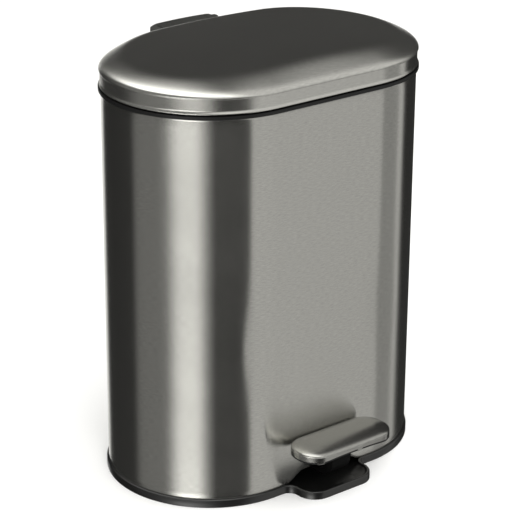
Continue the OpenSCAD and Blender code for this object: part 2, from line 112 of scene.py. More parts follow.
def stadium(radius=END_R, end_x=END_X, step=2.5 * MM, turn=2.0, marks=()):
    """Samples round the oval outline, from the middle of the rear, anticlockwise seen from above.

    marks are distances from the middle that get a sample on both flat sides."""
    half = with_marks(spaced(0, end_x, step), marks)
    falling = list(reversed(half[1:]))
    points = [Vector((-x, radius)) for x in half]
    points += arc((-end_x, 0), radius, 90, 270, turn)
    points += [Vector((x, -radius)) for x in [-end_x] + [-x for x in falling] + half]
    points += arc((end_x, 0), radius, -90, 90, turn)
    points += [Vector((x, radius)) for x in [end_x] + falling]
    cores = [Vector((max(-end_x, min(end_x, p.x)), 0)) for p in points]
    return add_runs(points, cores)


def inset(sample, distance):
    """The sample's point moved in from the outline."""
    return sample.point + (sample.core - sample.point).normalized() * distance


def grid(name, columns, rows, place, uv=None, close_rows=False):
    """A mesh of rows that each run round a closed outline.

    place(i, j) gives column i's point in row j, and uv(i, j) its texture place."""
    mesh = bpy.data.meshes.new(name)
    points = [place(i, j) for j in range(rows) for i in range(columns)]
    faces, corners = [], []
    for j in range(rows if close_rows else rows - 1):
        for i in range(columns):
            ends = [(i, j), (i + 1, j), (i + 1, j + 1), (i, j + 1)]
            faces.append([(b % rows) * columns + a % columns for a, b in ends])
            corners.append(ends)
    mesh.from_pydata(points, [], faces)
    if uv:
        layer = mesh.uv_layers.new(name="grain")
        for polygon, ends in zip(mesh.polygons, corners):
            for loop, (i, j) in zip(polygon.loop_indices, ends):
                layer.data[loop].uv = uv(i, j)
    return finish_mesh(mesh, name)


def finish_mesh(mesh, name, sharp=40, weld=0.01 * MM):
    """Welds a mesh, shades it smooth up to an angle and makes its object."""
    work = bmesh.new()
    work.from_mesh(mesh)
    bmesh.ops.remove_doubles(work, verts=work.verts, dist=weld)
    bmesh.ops.dissolve_degenerate(work, edges=work.edges, dist=weld / 10)
    work.to_mesh(mesh)
    work.free()
    mesh.polygons.foreach_set("use_smooth", [True] * len(mesh.polygons))
    mesh.set_sharp_from_angle(angle=math.radians(sharp))
    obj = bpy.data.objects.new(name, mesh)
    bpy.context.scene.collection.objects.link(obj)
    return obj


def shade_soft(obj, sharp=35):
    """Shades a piece smooth, but its level faces flat, so that soft edges don't bend their light."""
    level = 0.99999
    obj.data.set_sharp_from_angle(angle=math.radians(sharp))
    for polygon in obj.data.polygons:
        polygon.use_smooth = abs(polygon.normal.z) < level


def extruded(name, profile, x0, x1):
    """A solid with a side view given as (y, z) pairs, drawn out along X."""
    work = bmesh.new()
    ends = [[work.verts.new((x, y, z)) for y, z in profile] for x in (x0, x1)]
    work.faces.new(ends[0])
    work.faces.new(list(reversed(ends[1])))
    count = len(profile)
    for i in range(count):
        k = (i + 1) % count
        work.faces.new([ends[0][k], ends[0][i], ends[1][i], ends[1][k]])
    bmesh.ops.recalc_face_normals(work, faces=work.faces)
    mesh = bpy.data.meshes.new(name)
    work.to_mesh(mesh)
    work.free()
    return finish_mesh(mesh, name)


def cylinder(name, radius, start, end, sides=64):
    """A round bar between two points, used as a cutter or part of a solid."""
    start, end = Vector(start), Vector(end)
    turn = (end - start).to_track_quat("Z", "Y").to_matrix().to_4x4()
    work = bmesh.new()
    bmesh.ops.create_cone(work, cap_ends=True, segments=sides, radius1=radius, radius2=radius,
                          depth=(end - start).length, matrix=Matrix.Translation((start + end) / 2) @ turn)
    mesh = bpy.data.meshes.new(name)
    work.to_mesh(mesh)
    work.free()
    return finish_mesh(mesh, name)


def apply_modifiers(obj):
    """Replaces the object's mesh with the one its modifiers make."""
    bpy.context.view_layer.update()
    graph = bpy.context.evaluated_depsgraph_get()
    mesh = bpy.data.meshes.new_from_object(obj.evaluated_get(graph))
    obj.modifiers.clear()
    obj.data = mesh
    return obj


def combine(obj, operation, *others):
    """Cuts the others out of obj, or joins them to it, and removes them."""
    for other in others:
        step = obj.modifiers.new("combine", "BOOLEAN")
        step.operation = operation
        step.solver = "EXACT"
        step.object = other
    apply_modifiers(obj)
    for other in others:
        bpy.data.objects.remove(other)
    return obj


def rounded_edges(obj, width, segments=2, angle=30):
    """Bevels the edges sharper than an angle and shades the result smooth."""
    step = obj.modifiers.new("round", "BEVEL")
    step.width = width
    step.segments = segments
    step.limit_method = "ANGLE"
    step.angle_limit = math.radians(angle)
    step.use_clamp_overlap = True
    step.harden_normals = False
    apply_modifiers(obj)
    shade_soft(obj)
    return obj


def merged_copy(node):
    """A copy of a CAD node with its flat faces merged."""
    mesh = NODES[node].data.copy()
    mesh.name = node + "_soft"
    work = bmesh.new()
    work.from_mesh(mesh)
    bmesh.ops.remove_doubles(work, verts=work.verts, dist=0.002 * MM)
    bmesh.ops.dissolve_limit(work, angle_limit=math.radians(0.6), verts=work.verts, edges=work.edges)
    bmesh.ops.recalc_face_normals(work, faces=work.faces)
    work.to_mesh(mesh)
    work.free()
    obj = bpy.data.objects.new(node + "_soft", mesh)
    bpy.context.scene.collection.objects.link(obj)
    return obj


def fit_out(obj, body, material, slot, *nodes):
    """Gives a piece its material and its body, and hides the CAD nodes it stands for. The slot is not used.
    """
    obj.data.materials.clear()
    obj.data.materials.append(material)
    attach(obj, body)
    if nodes:
        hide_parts(*nodes)
    return obj


# ---- materials ----

def shader(name, **values):
    """A new material and its main shader, with constants set on the shader's own sockets."""
    material = bpy.data.materials.new(name)
    material.use_nodes = True
    tree = material.node_tree
    bsdf = tree.nodes["Principled BSDF"]
    for key, value in values.items():
        bsdf.inputs[key.replace("_", " ")].default_value = value
    return material, tree, bsdf


def add_node(tree, kind, **values):
    """A node with its properties and unlinked inputs set."""
    made = tree.nodes.new(kind)
    for key, value in values.items():
        if hasattr(made, key):
            setattr(made, key, value)
        else:
            made.inputs[key.replace("_", " ")].default_value = value
    return made


def fine_noise(tree, coordinates, scale, detail=2.0, stretch=(1, 1, 1)):
    """Noise that follows the given coordinates, stretched along each axis."""
    mapping = add_node(tree, "ShaderNodeMapping", Scale=stretch)
    made = add_node(tree, "ShaderNodeTexNoise", Scale=scale, Detail=detail)
    tree.links.new(coordinates, mapping.inputs["Vector"])
    tree.links.new(mapping.outputs["Vector"], made.inputs["Vector"])
    return made.outputs["Fac"]


def ranged(tree, value, low, high):
    """Maps a noise value onto low to high."""
    made = add_node(tree, "ShaderNodeMapRange", From_Min=0.25, From_Max=0.75, To_Min=low, To_Max=high)
    tree.links.new(value, made.inputs["Value"])
    return made.outputs["Result"]


def tinted(tree, value, dark, light):
    """A colour between dark and light that follows a noise value."""
    mix = add_node(tree, "ShaderNodeMix", data_type="RGBA")
    mix.inputs[6].default_value = (*dark, 1)
    mix.inputs[7].default_value = (*light, 1)
    tree.links.new(value, mix.inputs[0])
    return mix.outputs[2]


def brushed_steel(name, base, roughness, anisotropic, grain=1.0, uv_name="grain"):
    """Stainless steel brushed along the U direction of the piece's grain map."""
    material, tree, bsdf = shader(name, Metallic=1.0, Anisotropic=anisotropic)
    bsdf.inputs["Anisotropic Rotation"].default_value = 0.25
    tangent = add_node(tree, "ShaderNodeTangent", direction_type="UV_MAP", uv_map=uv_name)
    tree.links.new(tangent.outputs["Tangent"], bsdf.inputs["Tangent"])
    uv = add_node(tree, "ShaderNodeUVMap", uv_map=uv_name).outputs["UV"]
    fine = fine_noise(tree, uv, 1.0, 3.0, (260, 6000, 1))
    strands = fine_noise(tree, uv, 1.0, 2.0, (240, 1700, 1))
    smudge = fine_noise(tree, uv, 1.0, 3.0, (22, 30, 1))
    dark = tuple(c * (1 - 0.10 * grain) for c in base)
    light = tuple(min(1, c * (1 + 0.09 * grain)) for c in base)
    tree.links.new(tinted(tree, ranged(tree, strands, 0, 1), dark, light), bsdf.inputs["Base Color"])
    total = add_node(tree, "ShaderNodeMath", operation="MULTIPLY_ADD")
    tree.links.new(ranged(tree, fine, -0.02 * grain, 0.02 * grain), total.inputs[0])
    total.inputs[1].default_value = 1.0
    tree.links.new(ranged(tree, smudge, roughness - 0.012, roughness + 0.012), total.inputs[2])
    tree.links.new(total.outputs[0], bsdf.inputs["Roughness"])
    bump = add_node(tree, "ShaderNodeBump", Strength=0.03 * grain, Distance=0.02 * MM)
    tree.links.new(fine, bump.inputs["Height"])
    tree.links.new(bump.outputs["Normal"], bsdf.inputs["Normal"])
    return material


def moulded_plastic(name, base, roughness, bump_scale=1800, strength=0.12, specular=0.5):
    """Moulded plastic with a fine spark-eroded texture and faint wear."""
    material, tree, bsdf = shader(name, Metallic=0.0)
    bsdf.inputs["Specular IOR Level"].default_value = specular
    place = add_node(tree, "ShaderNodeTexCoord").outputs["Object"]
    skin = fine_noise(tree, place, bump_scale, 2.0)
    wear = fine_noise(tree, place, 45, 4.0)
    dark = tuple(c * 0.88 for c in base)
    light = tuple(c * 1.14 for c in base)
    tree.links.new(tinted(tree, wear, dark, light), bsdf.inputs["Base Color"])
    tree.links.new(ranged(tree, wear, roughness - 0.05, roughness + 0.05), bsdf.inputs["Roughness"])
    bump = add_node(tree, "ShaderNodeBump", Strength=strength, Distance=0.05 * MM)
    tree.links.new(skin, bump.inputs["Height"])
    tree.links.new(bump.outputs["Normal"], bsdf.inputs["Normal"])
    return material


def plated_steel(name):
    """Zinc-plated steel for the hidden hardware: mottled and a little dull."""
    material, tree, bsdf = shader(name, Metallic=1.0)
    place = add_node(tree, "ShaderNodeTexCoord").outputs["Object"]
    spangle = fine_noise(tree, place, 420, 3.0)
    tree.links.new(tinted(tree, spangle, (0.46, 0.47, 0.49), (0.62, 0.63, 0.64)), bsdf.inputs["Base Color"])
    tree.links.new(ranged(tree, spangle, 0.26, 0.42), bsdf.inputs["Roughness"])
    bump = add_node(tree, "ShaderNodeBump", Strength=0.1, Distance=0.02 * MM)
    tree.links.new(spangle, bump.inputs["Height"])
    tree.links.new(bump.outputs["Normal"], bsdf.inputs["Normal"])
    return material


# Steels: base colour, roughness, anisotropy, strength of the grain. Plastics: colour, roughness, texture.
STEEL = (0.60, 0.595, 0.565)
BODY_STEEL = brushed_steel("body_steel", STEEL, 0.21, 0.95)
# Painted light: the lid is the body's steel with a base 1.08 times lighter, standing in for the brighter
# light on its skirt and shoulder.
LID_STEEL_PAINTED_LIGHT = brushed_steel("lid_steel_painted_light", tuple(1.08 * c for c in STEEL), 0.25, 0.75, 0.8)
# Painted shade: the pedal is the body's steel with a base 0.72 times as bright, standing in for the dark
# surroundings its top mirrors.
PEDAL_STEEL_PAINTED_SHADE = brushed_steel("pedal_steel_painted_shade", tuple(0.72 * c for c in STEEL), 0.25, 0.4, 0.8)
BLACK = moulded_plastic("black_moulding", (0.0065, 0.0065, 0.0065), 0.40, specular=0.3)
DISH_BLACK = moulded_plastic("black_dish", (0.007, 0.007, 0.0068), 0.32, specular=0.8)
# Painted shade: the neck gets a darker, duller copy of the black plastic for the shade under the pedal.
NECK_BLACK_PAINTED_SHADE = moulded_plastic("black_neck_painted_shade", (0.003, 0.003, 0.003), 0.6, specular=0.1)
CHARCOAL = moulded_plastic("charcoal_moulding", (0.030, 0.030, 0.028), 0.5, specular=0.35)
BUCKET = moulded_plastic("bucket_moulding", (0.022, 0.022, 0.023), 0.38, 900, 0.06)
RUBBER = moulded_plastic("soft_rubber", (0.014, 0.014, 0.014), 0.75, 2600, 0.2, 0.3)
ZINC = plated_steel("zinc_plate")


# ---- camera, light and floor ----

# Angles in degrees, distances in metres, lens and sensor in millimetres
CAMERA_AZIMUTH = -38.585
CAMERA_ELEVATION = 21.861
CAMERA_DISTANCE = 1.435
CAMERA_TARGET_Z = 0.141
CAMERA_LENS = 143.5
SENSOR_WIDTH = 36
# Pitch, yaw and roll in degrees, after the camera has been aimed at the middle of the can
CAMERA_TRIM = (-0.0846, -0.0712, -0.3806)


def add_camera():
    """The camera, out along its angles from the target and looking back at it."""
    a, e = math.radians(CAMERA_AZIMUTH), math.radians(CAMERA_ELEVATION)
    back = Vector((math.sin(a) * math.cos(e), -math.cos(a) * math.cos(e), math.sin(e)))
    right = (-back).cross(Vector((0, 0, 1))).normalized()
    rows = Matrix((right, right.cross(-back), back))
    pitch, yaw, roll = (math.radians(t) for t in CAMERA_TRIM)
    rows = (Matrix.Rotation(roll, 3, "Z") @ Matrix.Rotation(pitch, 3, "X")
            @ Matrix.Rotation(yaw, 3, "Y") @ rows)
    data = bpy.data.cameras.new("camera")
    data.lens = CAMERA_LENS
    data.sensor_width = SENSOR_WIDTH
    camera = bpy.data.objects.new("camera", data)
    camera.matrix_world = (Matrix.Translation(Vector((0, 0, CAMERA_TARGET_Z)) + back * CAMERA_DISTANCE)
                           @ rows.transposed().to_4x4())
    bpy.context.scene.collection.objects.link(camera)
    bpy.context.scene.camera = camera


# Upright cards round the can, in degrees from the front: (start, end, soft edge, brightness)
CARDS = [(-120, -90, 10, 0.2), (-68, -56, 26, 1.4), (10, 45, 5, 0.55), (50, 80, 5, 0.3), (75, 80, 5, 0.6),
         (150, 165, 8, 1.0)]
# Brightness of the room and of what stands in it
DARK_WALL = 0.03
LOW_FLOOR = 0.5
BACK_SKY = 0.042
FRONT_SKY = 0.74
LEFT_SKY = 0.22
SOFT_BOX = 2.4
REAR_STRIP = 1.6
WARM = (1.0, 0.995, 0.965)
# Where the studio's parts fade in or out, from start to end, by a direction's x (right), y (rear) or z (up)
HORIZON = (0.01, 0.10)
FLOOR_FADE = (-0.8, -0.95)
FRONT_FADE = (-0.02, -0.26)
LEFT_FADE = (-0.4, -0.8)
BOX_LEAN = 0.25
BOX_RIGHT = (0.15, -0.30)
BOX_LEFT = (-0.8, -0.6)
BOX_LOW = (0.45, 0.61)
SIDE_X = (-0.45, -0.6)
SIDE_Y = (0.1, -0.1)
SIDE_GAIN = 1.2
GAP_LOW = (-0.6, -0.5)
GAP_HIGH = (-0.14, -0.24)
GAP_LOSS = 2.0
STRIP_LOW = (-0.22, -0.16)
STRIP_HIGH = (-0.04, -0.10)
STRIP_Y = (0.55, 0.7)
STRIP_X = (0.4, 0.5)


def linked(tree, socket, value):
    """Links a socket to another node's output, or sets it to a number, which is a warm grey for a colour."""
    if not isinstance(value, (int, float)):
        tree.links.new(value, socket)
    elif socket.type == "RGBA":
        socket.default_value = (*(value * c for c in WARM), 1)
    else:
        socket.default_value = value


def add_maths(tree, operation, *values):
    """The result of a maths node on numbers or other nodes' outputs."""
    made = add_node(tree, "ShaderNodeMath", operation=operation)
    for socket, value in zip(made.inputs, values):
        linked(tree, socket, value)
    return made.outputs[0]


def product(tree, first, *others):
    """All the factors multiplied together."""
    for other in others:
        first = add_maths(tree, "MULTIPLY", first, other)
    return first


def fade(tree, value, start, end):
    """0 before start, 1 past end, smooth between; start may be above end."""
    if start > end:
        return add_maths(tree, "SUBTRACT", 1.0, fade(tree, value, end, start))
    made = add_node(tree, "ShaderNodeMapRange", From_Min=start, From_Max=end, interpolation_type="SMOOTHSTEP")
    tree.links.new(value, made.inputs["Value"])
    return made.outputs["Result"]


def band(tree, value, rise, fall):
    """1 between two fades and 0 outside them. Each fade is a (start, end) pair."""
    return product(tree, fade(tree, value, *rise), fade(tree, value, *fall))


def blend(tree, factor, below, above):
    """Mixes two brightnesses or colours."""
    mix = add_node(tree, "ShaderNodeMix", data_type="RGBA")
    tree.links.new(factor, mix.inputs[0])
    linked(tree, mix.inputs[6], below)
    linked(tree, mix.inputs[7], above)
    return mix.outputs[2]


def scaled(tree, colour, factor):
    """A colour times a number."""
    made = add_node(tree, "ShaderNodeVectorMath", operation="SCALE")
    tree.links.new(colour, made.inputs[0])
    tree.links.new(factor, made.inputs["Scale"])
    return made.outputs[0]


def card_walls(tree, x, y):
    """The dark room with its cards, in the direction with these parts."""
    turn = add_maths(tree, "ARCTAN2", x, product(tree, y, -1.0))
    angle = product(tree, turn, math.degrees(1.0))
    wall = DARK_WALL
    for start, end, soft, brightness in CARDS:
        card = band(tree, angle, (start - soft, start), (end + soft, end))
        wall = blend(tree, card, wall, brightness)
    return wall


def upper_studio(tree, x, y, z):
    """Above the horizon: a dark back, a grey front, a dim left and a soft box overhead to the left."""
    sky = blend(tree, fade(tree, y, *FRONT_FADE), BACK_SKY, FRONT_SKY)
    sky = blend(tree, fade(tree, x, *LEFT_FADE), sky, LEFT_SKY)
    lean = add_maths(tree, "MULTIPLY_ADD", x, BOX_LEAN, z)
    box = product(tree, band(tree, x, BOX_RIGHT, BOX_LEFT), fade(tree, lean, *BOX_LOW))
    return blend(tree, box, sky, SOFT_BOX)


def lower_studio(tree, x, y, z):
    """Below the horizon: the walls over a pale floor, with a dim gap half way down the left wall."""
    low = blend(tree, fade(tree, z, *FLOOR_FADE), card_walls(tree, x, y), LOW_FLOOR)
    side = product(tree, fade(tree, x, *SIDE_X), fade(tree, y, *SIDE_Y))
    gap = band(tree, z, GAP_LOW, GAP_HIGH)
    extra = add_maths(tree, "MULTIPLY_ADD", gap, -GAP_LOSS, SIDE_GAIN)
    return scaled(tree, low, add_maths(tree, "MULTIPLY_ADD", extra, side, 1.0))


def rear_strip(tree, x, y, z):
    """Where the bright strip is, low at the right rear. The lid's rear edge mirrors it."""
    return product(tree, band(tree, z, STRIP_LOW, STRIP_HIGH), fade(tree, y, *STRIP_Y),
                   fade(tree, x, *STRIP_X))


def add_world():
    """The studio for gloss to mirror, and even white for everything else."""
    world = bpy.data.worlds.new("studio")
    world.use_nodes = True
    bpy.context.scene.world = world
    tree = world.node_tree
    tree.nodes.clear()
    way = add_node(tree, "ShaderNodeSeparateXYZ")
    tree.links.new(add_node(tree, "ShaderNodeTexCoord").outputs["Generated"], way.inputs[0])
    x, y, z = way.outputs
    low, high = lower_studio(tree, x, y, z), upper_studio(tree, x, y, z)
    studio = blend(tree, fade(tree, z, *HORIZON), low, high)
    studio = blend(tree, rear_strip(tree, x, y, z), studio, REAR_STRIP)
    ray = add_node(tree, "ShaderNodeLightPath")
    seen = blend(tree, ray.outputs["Is Glossy Ray"], 1.0, studio)
    background = add_node(tree, "ShaderNodeBackground")
    tree.links.new(seen, background.inputs["Color"])
    out = add_node(tree, "ShaderNodeOutputWorld")
    tree.links.new(background.outputs[0], out.inputs[0])


def add_light(name, place, size, power):
    """A soft square light that points at the can."""
    data = bpy.data.lights.new(name, "AREA")
    data.size = size
    data.energy = power
    light = bpy.data.objects.new(name, data)
    place = Vector(place)
    aim = Vector((0, 0, 0.15)) - place
    light.matrix_world = Matrix.Translation(place) @ aim.to_track_quat("-Z", "Y").to_matrix().to_4x4()
    light.visible_glossy = False
    bpy.context.scene.collection.objects.link(light)


def add_floor():
    """A wide pale sheet of paper under the can."""
    material, tree, bsdf = shader("floor_paper", Roughness=0.9)
    place = add_node(tree, "ShaderNodeTexCoord").outputs["Object"]
    tree.links.new(tinted(tree, fine_noise(tree, place, 3, 2.0), (0.90, 0.90, 0.90), (0.93, 0.93, 0.93)),
                   bsdf.inputs["Base Color"])
    mesh = bpy.data.meshes.new("floor")
    half = 6.0
    corners = [(-half, -half, 0), (half, -half, 0), (half, half, 0), (-half, half, 0)]
    mesh.from_pydata(corners, [], [(0, 1, 2, 3)])
    floor = bpy.data.objects.new("floor", mesh)
    floor.data.materials.append(material)
    floor.visible_glossy = False
    bpy.context.scene.collection.objects.link(floor)


add_camera()
add_world()
add_floor()
add_light("key_light", (-0.9, -1.2, 1.4), 1.0, 22)
add_light("fill_light", (1.3, -0.6, 1.2), 1.2, 12)
bpy.context.scene.view_settings.view_transform = "Standard"


# ---- body shell ----

def arch_height(x):
    """Height of the steel's lower edge at the front: a low arch with long sloping shoulders."""
    share = min(1.0, max(0.0, (ARCH_HALF - abs(x)) / ARCH_SLOPE))
    return RIM_H + (ARCH_TOP - RIM_H) * (1 - math.cos(math.pi * share)) / 2


# How far the top edge is flared, and how far up the grain map the sheet's inside starts
TOP_FLARE = 0.45 * MM
INSIDE_SHIFT = 0.4
# The weld down the middle of the rear wall
SEAM_HALF = 0.3 * MM
SEAM_DEPTH = 0.12 * MM
# Shallow dents of the thin sheet: (x, height, depth, width to the left, width to the right, half height)
DENTS = [(-61 * MM, 112 * MM, 0.75 * MM, 7 * MM, 15 * MM, 26 * MM),
         (54 * MM, 118 * MM, 0.25 * MM, 9 * MM, 6 * MM, 24 * MM),
         (-38 * MM, 62 * MM, 0.55 * MM, 8 * MM, 12 * MM, 26 * MM)]


def sheet_wave(point, z):
    """How far the thin sheet of the front dips in from its true outline."""
    if point.y > 0:
        return 0.0
    dip = 0.0
    for x, height, depth, left, right, half in DENTS:
        across = (point.x - x) / (left if point.x < x else right)
        dip += depth * math.exp(-across ** 2 / 2 - ((z - height) / half) ** 2 / 2)
    return dip


def wall_rows():
    """The wall's outside as (share of its height, distance in): its foot, the wall and the flared top."""
    steps = 60
    wall_low, wall_high = 0.0012, 0.994
    foot = [(0, 0.2 * MM), (wall_low / 2, 0.05 * MM), (wall_low, 0.0)]
    wall = [(wall_low + (wall_high - wall_low) * i / steps, 0.0) for i in range(1, steps + 1)]
    return foot + wall + [(0.996, -0.05 * MM), (0.998, -0.2 * MM), (1, -TOP_FLARE)]


def build_body():
    """The steel wall: a tube with a rolled top edge, an arch over the pedal and a weld at the rear."""
    marks = [SEAM_HALF / 2, SEAM_HALF * 1.5] + [ARCH_HALF - ARCH_SLOPE * k / 12 for k in range(13)]
    samples = stadium(step=2 * MM, turn=1.5, marks=marks)
    count = len(samples)
    outer = wall_rows()
    inner = [(1, SHEET - TOP_FLARE)] + [(share, SHEET) for share in (0.995, 0.7, 0.4, 0.1, 0.005)]
    rows = outer + inner

    def place(i, j):
        sample = samples[i]
        share, depth = rows[j]
        low = arch_height(sample.point.x) if sample.point.y < 0 and abs(sample.point.x) < END_X else RIM_H
        z = low + (BODY_HIGH.z - low) * share
        at_seam = sample.point.y > 0 and abs(sample.point.x) < SEAM_HALF and depth < SHEET
        groove = SEAM_DEPTH if at_seam else 0.0
        return Vector((*inset(sample, depth + groove + sheet_wave(sample.point, z)), z))

    total = samples[-1].run + (samples[0].point - samples[-1].point).length

    def uv(i, j):
        run = samples[i].run if i < count else total
        inside = j % len(rows) >= len(outer)
        return run, place(i % count, j % len(rows)).z + INSIDE_SHIFT * inside

    body = grid("body_steel_shell", count, len(rows), place, uv, close_rows=True)
    return fit_out(body, "can", BODY_STEEL, "brushed_body", "body_shell")


# ---- lid ----

LID_EDGE = LID_LOW.z + SKIRT_H
SHOULDER_W = 19 * MM
SHOULDER_H = 7.3 * MM
CROWN_X = 6.3 * MM
CROWN_Y = 1.3 * MM
LIP_RISE = 0.6 * MM
HEM_REACH = 3 * MM
# The hem's section in millimetres, outward and up: (distance in, height above the lid's lowest edge)
FLARE = [(3.0, 0.0), (0.3, 0.0), (-0.75, 0.0), (-0.95, 0.07), (-1.02, 0.25), (-1.0, 0.5), (-0.9, 0.8),
         (-0.75, 1.15), (-0.6, 1.5), (-0.48, 1.85), (-0.4, 2.3)]


def lid_height(point, depth):
    """Height of the lid's skin above a point, a distance in from the dome's edge."""
    share = min(1.0, max(0.0, depth / SHOULDER_W))
    rise = SHOULDER_H * math.sqrt(max(0.0, 1 - (1 - share) ** 2))
    crown = CROWN_X * (1 - (point.x / BODY_HIGH.x) ** 2) + CROWN_Y * (1 - (point.y / END_R) ** 2)
    soft = share * share * (3 - 2 * share)
    return LID_EDGE + LIP_RISE + rise + soft * crown


def lid_rows():
    """The lid's section, from the spine under the sheet to the hem and back over it to the spine.

    Each row is (distance in from the body's outline, height or None on the dome, depth below the skin)."""
    low = LID_LOW.z
    out = -0.4 * MM
    skirt = [(d * MM, low + z * MM) for d, z in FLARE]
    skirt += [(out, low + (LID_EDGE - low) * t) for t in (0.3, 0.4, 0.55, 0.7, 0.82, 0.9, 0.95)]
    skirt += [(out, LID_EDGE - 0.1 * MM), (out - 0.12 * MM, LID_EDGE),
              (out - 0.42 * MM, LID_EDGE + 0.06 * MM), (-0.98 * MM, LID_EDGE + 0.2 * MM),
              (-DOME_LIP, LID_EDGE + LIP_RISE)]
    steps = 26
    crown_steps = 16
    turns = [math.radians(90 * k / steps) for k in range(1, steps + 1)]
    dome = [SHOULDER_W * (1 - math.cos(t)) for t in turns]
    last = END_R + DOME_LIP
    dome += [SHOULDER_W + (last - SHOULDER_W) * k / crown_steps for k in range(1, crown_steps + 1)]
    outer = [(d, z, 0.0) for d, z in skirt] + [(d - DOME_LIP, None, 0.0) for d in dome]
    under = [(d - DOME_LIP, None, LID_SHEET) for d in reversed(dome[4::3] + [dome[-1]])]
    under += [(LID_SHEET, LID_EDGE - 0.5 * MM, 0.0), (LID_SHEET, low + LID_SHEET, 0.0),
              (HEM_REACH, low + LID_SHEET, 0.0)]
    return under + outer


def unrolled(sample, depth, height, edge_z):
    """Where a point of a pressed lid was on the flat sheet, so that its brushing can be drawn there."""
    drop = max(0.0, edge_z - height)
    flat = sample.point + (sample.point - sample.core).normalized() * (drop - depth)
    return flat.x, flat.y


def build_lid():
    """The lid's pressed shell, notched at the rear for its knuckles."""
    notch = KNUCKLE_SLOT
    marks = [KNUCKLE_X + t * notch + e for t in (-1, 1) for e in (-0.02 * MM, 0.02 * MM)]
    samples = stadium(step=2.2 * MM, turn=1.5, marks=marks)
    rows = lid_rows()
    count = len(samples)
    notch_top = LID_EDGE + 1.0 * MM

    def place(i, j):
        sample = samples[i % count]
        depth, z, sheet = rows[j % len(rows)]
        flat = sample.core if depth > END_R - 0.01 * MM else Vector(inset(sample, depth))
        if z is None:
            z = lid_height(flat, depth + DOME_LIP) - sheet
        if sample.point.y > 0 and abs(abs(sample.point.x) - KNUCKLE_X) < notch:
            z = max(z, notch_top)
        return Vector((*flat, z))

    def uv(i, j):
        depth = rows[j % len(rows)][0]
        return unrolled(samples[i % count], depth, place(i, j).z, LID_EDGE)

    lid = grid("lid_steel_shell", count, len(rows), place, uv)
    # The lid's steel has painted light: a lighter copy of the body's steel.
    return fit_out(lid, "lid", LID_STEEL_PAINTED_LIGHT, "brushed_lid", "lid_shell")


# ---- base with the toe scoop ----

SCOOP_HALF = 30 * MM
SCOOP_LIP_FRONT = RIM_LOW.y
SCOOP_CORNER = 14 * MM
SCOOP_FILLET = 7 * MM
FLOOR_T = 1.6 * MM
BASE_CORNER = 0.9 * MM
LIP_W = 1.9 * MM
LIP_SOFT = 0.8 * MM
COVE_W = 15 * MM
# Share of the cove's width that is left at the front
FRONT_COVE = 0.45
PAD_X = 78 * MM
PAD_Y = 34 * MM
PAD_HOLE_R = 9.05 * MM
PAD_HOLE_TOP = 0.8 * MM
SCREW_HEAD_R = 3 * MM
COUNTERBORE_R = 3.2 * MM
COUNTERBORE_TOP = 2.6 * MM
SCREW_HOLE_R = 1.65 * MM
SCREW_HOLE_TOP = 12 * MM
POST_R = 5.5 * MM
POST_W = 5 * MM
POSTS = (("axle_post_left", -26 * MM), ("axle_post_right", 21 * MM))
AXLE_HOLE_R = 2.55 * MM


def base_outline():
    """Points and outward normals round the base, with the scoop's lip at the front."""
    side = SCOOP_LIP_FRONT + SCOOP_CORNER
    fillet_y = -RIM_R - SCOOP_FILLET
    reach = SCOOP_HALF + SCOOP_FILLET
    half = [Vector((x, RIM_R)) for x in spaced(0, -END_X, 4 * MM)]
    half += arc((-END_X, 0), RIM_R, 90, 270, 2.5)
    half += [Vector((x, -RIM_R)) for x in spaced(-END_X, -reach, 2 * MM)]
    half += arc((-reach, fillet_y), SCOOP_FILLET, 90, 0, 10)
    half += [Vector((-SCOOP_HALF, y)) for y in spaced(fillet_y, side, 1 * MM)]
    half += arc((SCOOP_CORNER - SCOOP_HALF, side), SCOOP_CORNER, 180, 270, 5)
    half += [Vector((x, SCOOP_LIP_FRONT)) for x in spaced(SCOOP_CORNER - SCOOP_HALF, 0, 2 * MM)]
    return half + [Vector((0, SCOOP_LIP_FRONT))] + [Vector((-p.x, p.y)) for p in reversed(half[1:])]


def outline_normals(points):
    """The outward direction at each point of an anticlockwise outline."""
    count = len(points)
    ways = []
    for i in range(count):
        run = (points[(i + 1) % count] - points[i - 1]).normalized()
        ways.append(Vector((run.y, -run.x)))
    return ways


def base_section():
    """The base's section as (distance in, height): up round its rim, over its lip and down the cove."""
    foot = [(0.6 * MM, 0.0), (0.15 * MM, 0.12 * MM), (0.0, 0.5 * MM)]
    turns = [math.radians(t) for t in range(90, -1, -15)]
    top = [(BASE_CORNER * (1 - math.sin(t)), RIM_H - BASE_CORNER * (1 - math.cos(t))) for t in turns]
    edge = 0.3 * LIP_SOFT
    drop = RIM_H - FLOOR_T - edge
    lip = [(LIP_W - LIP_SOFT, RIM_H), (LIP_W - 0.4 * LIP_SOFT, RIM_H - 0.08 * LIP_SOFT),
           (LIP_W, RIM_H - edge)]
    turns = [math.radians(t) for t in range(10, 91, 10)]
    cove = [(LIP_W + COVE_W * (1 - math.cos(t)), FLOOR_T + drop * (1 - math.sin(t))) for t in turns]
    return foot + top + lip + cove


def fill_levels(obj, *levels):
    """Fills the open outlines at the given heights."""
    work = bmesh.new()
    work.from_mesh(obj.data)
    for z in levels:
        ring = [v for v in work.verts if abs(v.co.z - z) < 1e-7 and v.is_boundary]
        edges = {edge for v in ring for edge in v.link_edges if edge.is_boundary}
        bmesh.ops.contextual_create(work, geom=list(edges))
    bmesh.ops.triangulate(work, faces=[face for face in work.faces if len(face.verts) > 4])
    bmesh.ops.recalc_face_normals(work, faces=work.faces)
    work.to_mesh(obj.data)
    work.free()


def corner_holes(x, y, radius, top):
    """Cutters for an upright hole in each quarter of the base."""
    return [cylinder("cut", radius, (sx * x, sy * y, -MM), (sx * x, sy * y, top))
            for sx in (-1, 1) for sy in (-1, 1)]


